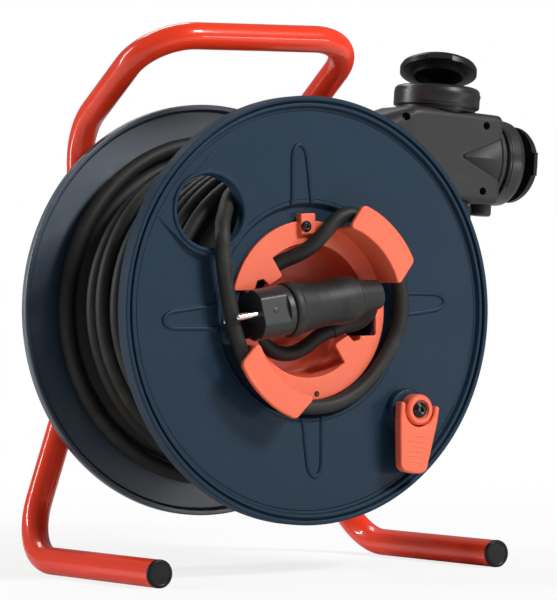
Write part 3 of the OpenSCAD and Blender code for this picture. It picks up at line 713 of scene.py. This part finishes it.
# The fixed turn beside the winding rises from between its turns and leads to the block.
TAIL_RADIUS, TAIL_Y, TAIL_FROM, TAIL_STEP = 126, 57, -57, 15
TAIL_RISE = [(-8.5, -5), (-5, -2.2), (-2, -0.6)] + [(0, 0)] * 12
tail_turn = []
for i, (deep, out) in enumerate(TAIL_RISE):
    x, z = polar(TAIL_RADIUS + out, TAIL_FROM - TAIL_STEP * i)
    tail_turn.append((x, TAIL_Y + deep, AXLE_HEIGHT + z))
TAIL_BENDS = [(10, 56.5, 317.6), (25, 55.2, 318.2), (40, 52.8, 319), (52, 50.2, 319.6)]
cord_piece(
    "tail_cord",
    MM,
    flowing([block_point(-116), block_point(-128), *TAIL_BENDS[::-1], *tail_turn[::-1]], 4),
    "stand",
    (0, 1, 0),
    far_end="object",
    lay="coiled",
)

# The layer below shows between the outer turns, and lies bare beside the rear flange.
CORE_INSIDE, CORE_FRONT, CORE_BACK = 64.4, -13, -147
core = [(CORE_INSIDE, CORE_FRONT), (lay_radius(13) - 12, CORE_FRONT)]
for k in range(9):
    depth = FIRST_DEPTH + PITCH * (k + 0.5)
    r = min(lay_radius(depth - 6), lay_radius(depth + 6)) - 8.4
    core += [(p[0], -p[1]) for p in arc((r, depth), 5.4, -60, 60, 8)]
core += [(96.5, -124)]
for r, depth in ((96, 128.5), (113.5, 144)):
    core += [(p[0], -p[1]) for p in arc((r, depth), 4.6, -75, 75, 8)]
core += [(112, CORE_BACK), (CORE_INSIDE, CORE_BACK), (CORE_INSIDE, CORE_FRONT)]
finished("cable_under_layer", lathe(core, 144), DRUM, "drum", rubber, ["cable_core"])

# ------------------------------------------------------------------ stand

TUBE = 10
half = [(143.5, -104, TUBE), (145.5, 93, TUBE), (93, 93, 159), (93, 93, 326.7), (90, -8.5, 392)]
bends = [45, 60, 45, 40]
route = bent(half + [(-x, y, z) for x, y, z in half[::-1]], bends + bends[::-1], 4)
finished("frame_tube_bent", swept(route, TUBE, 56, (0, 0, 1)), MM, "stand", paint, ["frame_tube"])

for side in (-1, 1):
    out = (Vector(half[0]) - Vector(half[1])).normalized()
    out.x *= side
    cap = lathe(
        [(8.2, -14), (8.2, -0.4)]
        + eased([(10.15, -0.4, 0.4), (10.15, 2, 1.3), (8.1, 2.3, 0.4), (7.5, 1.9, 0.3), (0, 2.0)]),
        56,
    )
    place = (
        MM
        @ shift(side * half[0][0], half[0][1], half[0][2])
        @ out.to_track_quat("Z", "Y").to_matrix().to_4x4()
    )
    finished(
        "foot_cap_" + ("left", "right")[side > 0], cap, place, "stand", black, ["foot_caps"]
    )

# ------------------------------------------------------------------ front flange

rim = [
    (144, -4), (146, -4, 0.6), (147.4, -0.6, 0.8), (149.7, -0.6, 0.8), (149.9, -3.2, 0.5),
    (151.2, -3.2, 0.5), (151.4, 0, 0.9), (154.9, 0, 1.3), (154.9, -12, 0.7), (152.2, -12, 0.5),
    (152.2, -7, 1.2), (144, -7),
]  # fmt: skip
well = [
    (80, -7), (79, -7, 0.5), (77, -11, 0.5), (58, -11, 0.4), (58, -8, 0.5), (75, -8, 1.6),
    (77.6, -4, 1.4), (80.6, -4),
]  # fmt: skip
bm = plate(
    [circle((0, 0), 144.4, 240), circle((0, 0), 80.2, 144), circle(HOLE_AT, 26.8, 96)],
    -7,
    -4,
    top=0,
)
lathe(eased(rim), 240, bm)
lathe(eased(well), 144, bm)

# The window's pad leans inwards, with a lip round the hole.
PAD_HEIGHT, PAD_LEAN = -1.0, 5.4


def pad_top(x, y):
    return PAD_HEIGHT - math.tan(math.radians(PAD_LEAN)) * x


outline = eased(
    [(26, 31.1, 1.5), (0, 31.5)]
    + [(-p[0], p[1]) for p in arc((0, 0), 31.5, 85, -85, 40)]
    + [(0, -31.5), (26, -31.1, 1.5)],
    4,
    True,
)
pad = plate([outline, circle((0, 0), 28.4, 96)], -6.9, 0, top=0.25, lie=pad_top)
pad_place = DRUM.inverted() @ PAD
pad.transform(pad_place)
bm = joined(pad, bm)
lip = eased(
    [
        (29.6, -1), (29.4, 0.5, 0.5), (28.7, 1.5, 0.7), (27, 1.5, 0.8), (26, 0.2, 0.8),
        (26, -8.4, 0.5), (27.6, -8.4),
    ],  # fmt: skip
    5,
)
lathe(lip, 96, bm, pad_place @ shift(0, 0, PAD_HEIGHT) @ turn("Y", PAD_LEAN))

# Four long loops of a low bead stand round the well. Each narrows to a round tip.
BEAD, BEAD_Z, TIP_FROM, TIP_HALF, TIP_LONG = 1.85, -4.25, 108, 6.2, 12
one = flowing([(77, 8.6, BEAD_Z), (84, 7.7, BEAD_Z), (96, 7.1, BEAD_Z), (108, 6.2, BEAD_Z)], 3)
for t in range(1, 10):
    a = t * math.pi / 20
    one.append(Vector((TIP_FROM + TIP_LONG * math.sin(a), TIP_HALF * math.cos(a), BEAD_Z)))
tip = Vector((TIP_FROM + TIP_LONG, 0, BEAD_Z))
loop = one + [tip] + [Vector((q.x, -q.y, q.z)) for q in one[::-1]]
loop_place = DRUM.inverted() @ FACE @ shift(-2.4, 0, 0)
for a in (0, 90, 180, 270):
    swept([loop_place @ turn("Z", a + 2.5) @ q for q in loop], BEAD, 14, (0, 0, 1), bm)

boss = bmesh.new()
for radius, z in ((16, -5), (15.8, -1), (15.6, 1.6), (14.9, 2.9), (13.6, 3.4)):
    for x, y in circle((-2.6, -0.6), radius, 48):
        boss.verts.new((x, y, z))
bmesh.ops.convex_hull(boss, input=boss.verts[:])
boss.transform(DRUM.inverted() @ CRANK)
bm = joined(boss, bm)
finished("front_flange_moulded", bm, DRUM, "drum", navy, ["front_flange"])

# ------------------------------------------------------------------ rear flange

REAR = -150.0
bm = lathe(
    eased(
        [
            (18, REAR), (104, REAR, 30), (149.6, REAR - 2.4, 1.2), (151.2, REAR + 1.7, 0.6),
            (154.9, REAR + 1.7, 1.2), (154.9, -154.8, 1), (151.5, -154.8, 0.7),
            (151.5, REAR - 4.2, 1), (104, REAR - 3, 30), (18, REAR - 3),
        ]  # fmt: skip
    )
    + [(18, REAR)],
    240,
)
for a in range(0, 360, 30):
    rib = [(17, -1.25), (151.6, -1.25), (151.6, 1.25), (17, 1.25)]
    plate([rib], REAR - 6, REAR - 3.6, top=0, foot=0.5, bm=bm, place=turn("Z", a))
for r in (67, 108):
    low, high, inner, outer = REAR - 6, REAR - 1, r - 1.25, r + 1.25
    ring = eased([(inner, high), (inner, low, 0.5), (outer, low, 0.5), (outer, high)])
    lathe(ring + ring[:1], 160, bm)
hub = eased([(12.5, -132), (12.5, -158.5), (18, -158.5, 1), (18, -132)])
lathe(hub + hub[:1], 72, bm)
finished("rear_flange_moulded", bm, DRUM, "drum", satin_navy, ["rear_flange"])

# ------------------------------------------------------------------ plug holder

DISH, WALL = 48.5, 50.5
bm = lathe(
    eased([(0, -34), (45.5, -34, 3.4), (DISH, -28, 0), (WALL, -28), (WALL, -36), (0, -36)], 6), 128
)
for low, high, begin, end in (
    (-30, -6, 20.4, 162.2),
    (-30, -6, 202.8, 337.2),
    (-30, -12, 161.8, 203.2),
):
    wall = eased([(DISH, low), (DISH, high, 0.3), (WALL, high, 0.5), (WALL, low)])
    lathe(wall, round((end - begin) / 2.8), bm, None, begin, end - begin)
tooth = [(30.5, -38.4, 1), (22, -25, 1.8), (33.4, -18.4, 1.4), (38.5, -23, 1.2), (43.3, -22, 0.9)]
other = [(-p[0], -p[1], p[2]) for p in tooth]
outline = eased(
    [(-63.2, 15, 1.5)]
    + arc((0, 0), 65, 162.5, -160, 110)
    + [(-62.2, -19, 1.5), (-44.9, -19, 1.2)]
    + arc((0, 0), DISH, 207, 304, 36)
    + tooth
    + [(44.7, -19, 1.2), (57.5, -19, 1.6), (57.5, 17, 1.6), (45.6, 17, 1.2)]
    + arc((0, 0), DISH, 25, 124, 36)
    + other
    + [(-46.1, 15, 1.2)],
    4,
    True,
)
plate([outline], -8, -5, top=0.6, foot=0.3, bm=bm)
# Where each wing begins and ends, in degrees, at its inner and at its outer edge.
WING_IN = [(15.5, 72.5), (199.5, 259)]
WING_OUT = [(25.2, 67.8), (206.3, 249.6)]
for (a, b), (c, d) in zip(WING_IN, WING_OUT):
    outer, inner = arc((0, 0), 82.4, c, d, 26), arc((0, 0), 62.6, b, a, 34)
    outline = eased(
        [(*outer[0], 5)] + outer[5:-5] + [(*outer[-1], 5), (*inner[0], 3)]
        + inner[5:-5] + [(*inner[-1], 3)],
        6,
        True,
    )  # fmt: skip
    plate([outline], 18.5, 22, top=1.1, foot=0.5, bm=bm, segments=5)
    wall = eased([(62.7, -7), (62.7, 20.6, 0.5), (64.6, 20.6, 0.5), (64.6, -7)])
    lathe(wall, 24, bm, None, a + 2.5, b - a - 5)
lug = [(55, -6.2, 0.6), (70.2, -6.2, 1.4), (70.2, 6.2, 1.4), (55, 6.2, 0.6)]
plate([eased(lug, 4, True)], -7.9, -1, top=0.8, bm=bm, place=turn("Z", 92))
ring = eased([(3.6, -34.2), (3.75, -33.75, 0.15), (4.25, -33.75, 0.15), (4.4, -34.2)])
lathe(ring + ring[:1], 40, bm, shift(-2, 17, 0))
finished("plug_holder_moulded", bm, FACE, "drum", salmon, ["plug_holder"])

bm = None
for radius, angle, z, head in ((60.8, 94, -1, 4.1), (60.5, 275.5, -5, 2.0)):
    bm = headed(head, head * 0.5, head * 0.3, head * 0.62, bm, shift(*polar(radius, angle), z))
finished("holder_screw_heads", bm, FACE, "drum", black_steel, ["holder_screws"])

# ------------------------------------------------------------------ plug


FACE_RADIUS, FLAT_AT, FLAT_HALF, NOTCH_AT, NOTCH_HALF = 18.5, 15.8, 9.6, 16.2, 2.4


def face_outline(flat):
    """The plug's round face with a notch for each contact, and a flat guide at each side or not."""
    points = []
    for a in range(0, 360, 3):
        x, y = polar(FACE_RADIUS, a)
        if flat and abs(y) < FLAT_HALF:
            x = math.copysign(FLAT_AT, x)
        if abs(x) < NOTCH_HALF:
            y = math.copysign(NOTCH_AT, y)
        points.append((x, y))
    return points


bm = plate([face_outline(True)], 0, 22, top=0, foot=0.9)
plate([face_outline(False)], 21.9, 26, top=0, foot=0.5, bm=bm)
knob = [(1.9, -0.5), (2.0, 0.35), (1.5, 0.55), (0, 0.5)]
for side in (-1, 1):
    lathe(knob, 24, bm, shift(side * FLAT_AT, 0, 11) @ turn("Y", side * 90))
finished("plug_face_insert", bm, PLUG, "drum", plug_black, ["plug_face"])

profile = eased(
    [
        (0, 26), (17.6, 26, 0.4), (17.6, 27.6, 0.5), (19.4, 27.6, 0.7), (20.2, 29.5, 0.9),
        (20.2, 33, 0.9), (19.2, 35, 1.2), (18.5, 40, 6), (17.3, 49, 8), (16.6, 58, 6),
        (16.7, 66, 5), (17.5, 72.5, 4), (17.4, 79, 2.4), (16.9, 85.6, 1), (15.4, 87, 0.6),
        (13.8, 87.2), (0, 87.2),
    ],  # fmt: skip
    5,
)
bm = lathe(profile, 80)
finished("plug_body_moulded", bm, PLUG, "drum", plug_rubber, ["plug_body"])

bm = None
for side in (-1, 1):
    pin = eased(
        [
            (0, 12), (2.2, 12), (2.2, 0.2), (2.4, 0, 0.1), (2.4, -17.6, 1), (1.7, -19.1, 0.9),
            (0, -19.4),
        ]  # fmt: skip
    )
    bm = lathe(pin, 32, bm, shift(side * 9.5, 0, 0))
finished("plug_pin_pair", bm, PLUG, "drum", contact, ["plug_pins"])

# The tail's barrel hides the bend that turns the cable back into the dish.
lean = Vector((*polar(1, PLUG_TURN), 0))
tail_at = Vector(PLUG_AT) + 87 * lean
bend_from = tail_at + 2.5 * lean
middle, reach = (bend_from + BOOT_TURN) / 2, (BOOT_TURN - bend_from) / 2
bow = Vector((reach.length, 0, 0))
bend = [
    middle - reach * math.cos(math.radians(a)) + bow * math.sin(math.radians(a))
    for a in range(10, 190, 10)
]
line = flowing([tail_at, bend_from, *bend, BOOT_END], 2)
BOOT_THICK, BOOT_THIN = 10.6, 6.3
radii = [
    max(BOOT_THIN, BOOT_THICK - 4.3 * min(1, (i / (len(line) - 1)) * 1.12))
    for i in range(len(line))
]
bm = swept(line, radii, 28)
barrel = eased(
    [
        (0, 86), (13.6, 86), (13.5, 89, 2), (11.9, 99, 8), (10.7, 107.4, 1.2), (9.6, 108.3, 0.6),
        (0, 108.1),
    ]  # fmt: skip
)
lathe(barrel, 64, bm, FACE.inverted() @ PLUG)
finished("plug_boot_moulded", bm, FACE, "drum", plug_rubber, ["plug_boot"])

# ------------------------------------------------------------------ crank

hub = eased(
    [
        (4.05, 4.5), (11.35, 4.5, 0.4), (11.35, 13.2, 1.8), (9.8, 15, 1.2), (7.2, 15, 0.4),
        (6.9, 13.2, 0.3), (4.05, 13.2),
    ]  # fmt: skip
)
bm = lathe(hub + hub[:1], 64)
finished("crank_hub_moulded", bm, CRANK, "crank", salmon, ["crank_hub"])
bm = headed(5.9, 2.9, 1.9, 3.6, None, shift(0, 0, 13.2))
lathe([(0, 13.4), (4, 13.4), (4, -8), (2.5, -8), (2.5, -15), (0, -15)], 40, bm)
finished("crank_screw_turned", bm, CRANK, "crank", black_steel, ["crank_screw"])

outline = eased(
    [(-17.2, 4.2, 1.9), (-12.9, 4.2, 1.9), (-12.5, -2.4)]
    + arc((0, 0), 12.5, 196, 344, 28)
    + [
        (12.5, -2.4), (12.9, 4.2, 1.9), (17.2, 4.2, 1.9), (16.5, -8, 20), (13.7, -28, 30),
        (11.6, -43, 4.5), (8, -46, 5), (0, -46.8, 20), (-8, -46, 5), (-11.6, -43, 4.5),
        (-13.7, -28, 30), (-16.5, -8, 20),
    ],  # fmt: skip
    6,
    True,
)
bm = plate([outline], 6.2, 14.2, top=1.5, foot=1.2, segments=6)
for i in range(6):
    rib = eased([(-7, -0.5, 0.4), (7, -0.5, 0.4), (7, 0.5, 0.4), (-7, 0.5, 0.4)], 3, True)
    plate([rib], 14.0, 14.32, top=0.12, bm=bm, place=shift(0, -19 - 3.8 * i, 0))
finished("crank_handle_moulded", bm, CRANK, "handle", salmon, ["crank_handle"])

# ------------------------------------------------------------------ socket block


def section(u, tall, thick, corner, inset=0.0):
    """A rounded section across the block, at u along it; tall and thick are half its size."""
    tall, thick, corner = tall - inset, thick - inset, max(0.5, corner - inset * 0.4)
    points = []
    for v, z, a in ((1, 1, 0), (-1, 1, 90), (-1, -1, 180), (1, -1, 270)):
        middle = (v * (tall - corner), z * (thick - corner))
        points += [(u, p[0], p[1]) for p in arc(middle, corner, a, a + 90, 14)]
    return points


TALL, THICK = 35, 28.5


def block_whole():
    """The body of both shells: round at the cable's end, and widening to the outlets' part."""
    rings = [section(-74, 20, 20, 19.8, 1), section(-73, 20, 20, 19.8)]
    for i in range(13):
        t = i / 12
        rings.append(section(-72 + 44 * t, 20.3 + 14.7 * t, 20.2 + 8.3 * t, 19.5 - 12.5 * t**0.8))
    rings += [section(u, TALL, THICK, corner) for u, corner in ((-21, 6.2), (10, 6), (46, 6))]
    for a in range(15, 91, 15):
        s, c = math.sin(math.radians(a)), math.cos(math.radians(a))
        rings.append(section(49.5 + 5 * s, TALL, THICK, 6, 5 * (1 - c)))
    return lofted(rings)


SCREWS = [(x, y) for x in (-37, 37) for y in (-25.5, 25.5)]


# The body's two halves meet in a fine line. A fin tapers from the side outlet's ridge over each.
for name, side in (("front", 1), ("rear", -1)):
    bm = block_whole()
    geom = bm.verts[:] + bm.edges[:] + bm.faces[:]
    bmesh.ops.bisect_plane(
        bm, geom=geom, plane_co=(0, 0, side * 0.12), plane_no=(0, 0, side), clear_inner=True
    )
    bmesh.ops.holes_fill(bm, edges=[e for e in bm.edges if e.is_boundary], sides=0)
    upright = turn("X", 0 if side > 0 else 180)
    pocket = [(0, 19), (3.1, 19), (3.1, 40), (0, 40)]
    bm = carved(bm, *(lathe(pocket, 32, None, shift(x, y, 0) @ upright) for x, y in SCREWS))
    cone = bmesh.new()
    for a in range(0, 181, 5):
        y, z = polar(32.4, a)
        cone.verts.new((50, y, side * z))
        cone.verts.new((53, y, side * z))
    cone.verts.new((12.6, 0, side * 28.0))
    cone.verts.new((13.4, 0.7, side * 28.1))
    cone.verts.new((13.4, -0.7, side * 28.1))
    cone.verts.new((50, 0, side * 5))
    bmesh.ops.convex_hull(cone, input=cone.verts[:])
    bm = joined(cone, bm)
    ridge = eased(
        [
            (30, 50.5), (32.3, 50.5, 0.4), (33.6, 51.7, 0.7), (33.6, 54.4, 0.7), (31, 55.3, 0.5),
            (29, 55.3),
        ]  # fmt: skip
    )
    lathe(ridge + ridge[:1], 48, bm, turn("Y", 90) @ turn("Z", 90 if side < 0 else -90), 0.3, 179.4)
    if side > 0:
        stud = eased([(0, 5), (7.6, 5, 1), (8.4, 3.2, 0.8), (8.4, -4), (0, -4)])
        lathe(stud, 40, bm, shift(50, -38.2, 8) @ turn("X", 90))
    finished("block_%s_moulded" % name, bm, BLOCK, "stand", grey, ["block_%s_shell" % name])

bm = None
for x, y in SCREWS:
    bm = headed(2.8, 2.0, 0.8, 2.4, bm, shift(x, y, 20))
finished("block_screw_heads", bm, BLOCK, "stand", black_steel, ["block_screws"])

# A raised panel follows part of the two collars. The ends of the top one slant, by so many
# degrees for each millimetre up.
for name, begin, sweep, slant in (("top", -109, 97, 1.9), ("right", -128, 76, 0)):
    panel = eased([(33, 5), (34.1, 5.2, 0.5), (34.1, 13.4, 0.6), (33, 13.8)])
    bm = lathe(panel, 40, None, None, begin, sweep)
    for v in bm.verts:
        v.co.rotate(turn("Z", slant * (v.co.z - 9)).to_3x3())
    finished("collar_panel_" + name, bm, SOCKETS[name], "stand", collar_black)

# ------------------------------------------------------------------ floor and light

bm = bmesh.new()
bmesh.ops.create_grid(bm, x_segments=1, y_segments=1, size=40)
mesh = bpy.data.meshes.new("floor")
bm.to_mesh(mesh)
bm.free()
floor = bpy.data.objects.new("floor", mesh)
bpy.context.scene.collection.objects.link(floor)


def added(tree, kind, operation=None, **values):
    """A node of a tree, with its operation and the constant values of its sockets."""
    node = tree.nodes.new("ShaderNode" + kind)
    if operation:
        node.operation = operation
    for name, value in values.items():
        node.inputs[name.replace("_", " ")].default_value = value
    return node


def linked(tree, *pairs):
    for given, wanted in pairs:
        tree.links.new(given, wanted)


# The camera sees the floor fade to white away from the part.
ground = bpy.data.materials.new("floor")
ground.use_nodes = True
tree = ground.node_tree
cloth = tree.nodes["Principled BSDF"]
cloth.inputs["Base Color"].default_value = (0.86, 0.86, 0.86, 1)
cloth.inputs["Roughness"].default_value = 0.9
cloth.inputs["Specular IOR Level"].default_value = 0.0
white = added(tree, "Emission")
spot = added(tree, "TexCoord")
reach = added(tree, "VectorMath", "LENGTH")
fade = added(tree, "MapRange", From_Min=0.2, From_Max=1.1, To_Min=0.8, To_Max=1.0)
seen = added(tree, "LightPath")
share = added(tree, "Math", "MULTIPLY")
either = added(tree, "MixShader")
linked(
    tree,
    (spot.outputs["Object"], reach.inputs[0]),
    (reach.outputs["Value"], fade.inputs["Value"]),
    (fade.outputs["Result"], share.inputs[0]),
    (seen.outputs["Is Camera Ray"], share.inputs[1]),
    (share.outputs["Value"], either.inputs["Fac"]),
    (cloth.outputs["BSDF"], either.inputs[1]),
    (white.outputs["Emission"], either.inputs[2]),
    (either.outputs["Shader"], tree.nodes["Material Output"].inputs["Surface"]),
)
floor.data.materials.append(ground)

# The camera sees white behind the part, reflections a share of it, and all else a dim studio.
GLOSSY_SHARE = 0.08
world = bpy.context.scene.world or bpy.data.worlds.new("studio")
bpy.context.scene.world = world
world.use_nodes = True
tree = world.node_tree
tree.nodes.clear()
path = added(tree, "LightPath")
dim_studio = added(tree, "Background", Color=(0.96, 0.98, 1.0, 1), Strength=0.12)
pure = added(tree, "Background", Color=(1, 1, 1, 1), Strength=1.0)
direct, most = added(tree, "Math", "MAXIMUM"), added(tree, "Math", "MAXIMUM")
glossy = added(tree, "Math", "MULTIPLY")
glossy.inputs[1].default_value = GLOSSY_SHARE
blend = added(tree, "MixShader")
linked(
    tree,
    (path.outputs["Is Camera Ray"], direct.inputs[0]),
    (path.outputs["Is Transmission Ray"], direct.inputs[1]),
    (path.outputs["Is Glossy Ray"], glossy.inputs[0]),
    (direct.outputs[0], most.inputs[0]),
    (glossy.outputs[0], most.inputs[1]),
    (most.outputs[0], blend.inputs["Fac"]),
    (dim_studio.outputs[0], blend.inputs[1]),
    (pure.outputs[0], blend.inputs[2]),
    (blend.outputs[0], added(tree, "OutputWorld").inputs["Surface"]),
)


def lamp(name, place, aim, size, power):
    """A soft rectangular lamp of that size in metres and power in watts."""
    light = bpy.data.lights.new(name, "AREA")
    light.shape = "RECTANGLE"
    light.size, light.size_y = size
    light.energy = power
    thing = bpy.data.objects.new(name, light)
    aimed = (Vector(aim) - Vector(place)).to_track_quat("-Z", "Y").to_matrix().to_4x4()
    thing.matrix_world = Matrix.Translation(place) @ aimed
    bpy.context.scene.collection.objects.link(thing)


lamp("over", (0.9, -1.9, 1.75), (0, 0, 0.2), (0.7, 0.6), 62)
lamp("right_hand", (1.65, -2.1, 0.1), (0.05, 0, 0.1), (0.8, 0.16), 7)
lamp("left_strip", (-1.75, 1.15, 0.8), (-0.1, 0, 0.2), (0.09, 1.5), 28)
lamp("behind", (0.3, 1.5, 1.9), (0, 0, 0.25), (1.2, 0.6), 16)

bpy.context.scene.view_settings.view_transform = "Standard"
